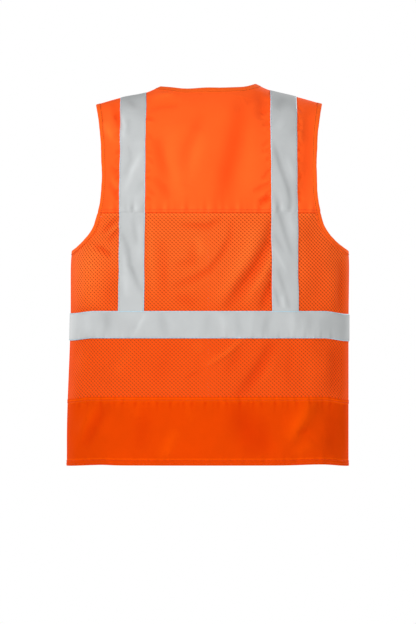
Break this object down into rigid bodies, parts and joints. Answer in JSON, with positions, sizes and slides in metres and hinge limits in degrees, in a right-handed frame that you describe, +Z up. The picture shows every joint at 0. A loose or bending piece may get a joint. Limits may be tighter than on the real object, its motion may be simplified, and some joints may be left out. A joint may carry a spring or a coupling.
{
  "type": "high-visibility safety vest",
  "caption": "Zip-front orange high-visibility vest with reflective tape, mesh back, chest pen and radio pockets, flapped lower pockets and mic tabs, in its worn shape.",
  "frame": {"origin": "midway between the two neck points, at the top of the shoulder seams, where the vest rests on the wearer's shoulders", "axes": "+Z up, +Y out of the wearer's chest, +X to the wearer's right"},
  "size_m": [0.5292, 0.2585, 0.7112],
  "materials": {
    "orange_cloth": "matt tricot polyester, fluorescent orange",
    "mesh": "matt polyester mesh, fluorescent orange",
    "binding": "matt folded polyester tape, fluorescent orange",
    "reflective_tape": "silver glass-bead coating, satin",
    "zipper_tape": "woven polyester",
    "zipper_plastic": "moulded acetal",
    "slider_metal": "nickel plate",
    "hook_and_loop": "napped nylon",
    "label": "white satin ribbon, unprinted"
  },
  "bodies": {
    "back": {"back_yoke": "orange_cloth", "back_mesh_panel": "mesh", "back_hem_panel": "orange_cloth", "back_waist_tape": "reflective_tape", "back_neck_binding": "binding", "back_hem_binding": "binding", "hanger_loop": "binding", "care_label": "label", "back_tape_left": "reflective_tape", "back_tape_right": "reflective_tape", "back_armhole_binding_left": "binding", "back_armhole_binding_right": "binding"},
    "front_right": {"front_panel_right": "orange_cloth", "front_tape_right": "reflective_tape", "front_waist_tape_right": "reflective_tape", "front_armhole_binding_right": "binding", "front_neck_binding_right": "binding", "front_hem_binding_right": "binding", "mic_tab_right": "orange_cloth", "lower_pocket_right": "orange_cloth", "lower_pocket_loop_right": "hook_and_loop", "zipper_tape_right": "zipper_tape", "zipper_teeth_right": "zipper_plastic", "zipper_top_stop_right": "zipper_plastic", "pen_pocket": "orange_cloth", "zipper_box": "zipper_plastic"},
    "front_left": {"front_panel_left": "orange_cloth", "front_tape_left": "reflective_tape", "front_waist_tape_left": "reflective_tape", "front_armhole_binding_left": "binding", "front_neck_binding_left": "binding", "front_hem_binding_left": "binding", "mic_tab_left": "orange_cloth", "lower_pocket_left": "orange_cloth", "lower_pocket_loop_left": "hook_and_loop", "zipper_tape_left": "zipper_tape", "zipper_teeth_left": "zipper_plastic", "zipper_top_stop_left": "zipper_plastic", "radio_pocket": "orange_cloth", "radio_pocket_loop": "hook_and_loop", "zipper_pin": "zipper_plastic"},
    "zipper_slider": {"zipper_slider": "slider_metal"},
    "zipper_pull": {"zipper_pull": "slider_metal"},
    "radio_flap": {"radio_flap": "orange_cloth", "radio_flap_hook": "hook_and_loop"},
    "lower_flap_right": {"lower_flap_right": "orange_cloth", "lower_flap_hook_right": "hook_and_loop"},
    "lower_flap_left": {"lower_flap_left": "orange_cloth", "lower_flap_hook_left": "hook_and_loop"}
  },
  "joints": [
    {"name": "open_right_front", "type": "hinge", "parent": "back", "child": "front_right", "pos_m": [0.265, 0, -0.4], "axis": [0, 0, -1], "range_deg": [0, 75]},
    {"name": "open_left_front", "type": "hinge", "parent": "back", "child": "front_left", "pos_m": [-0.265, 0, -0.4], "axis": [0, 0, 1], "range_deg": [0, 75]},
    {"name": "unzip", "type": "slide", "parent": "front_right", "child": "zipper_slider", "axis": [0, 0, -1], "range_m": [0, 0.435], "deforming": ["zipper_teeth_left", "zipper_teeth_right"]},
    {"name": "pull_tab", "type": "hinge", "parent": "zipper_slider", "child": "zipper_pull", "pos_m": [0, 0.1242, -0.2439], "axis": [1, 0, 0], "range_deg": [0, 170]},
    {"name": "lift_radio_flap", "type": "hinge", "parent": "front_left", "child": "radio_flap", "pos_m": [-0.0674, 0.1206, -0.251], "axis": [0.9923, 0.1239, 0], "range_deg": [0, 110]},
    {"name": "lift_right_flap", "type": "hinge", "parent": "front_right", "child": "lower_flap_right", "pos_m": [0.12497, 0.10989, -0.481], "axis": [0.9698, -0.2439, 0], "range_deg": [0, 110]},
    {"name": "lift_left_flap", "type": "hinge", "parent": "front_left", "child": "lower_flap_left", "pos_m": [-0.12497, 0.10989, -0.481], "axis": [0.9698, 0.2439, 0], "range_deg": [0, 110]}
  ]
}
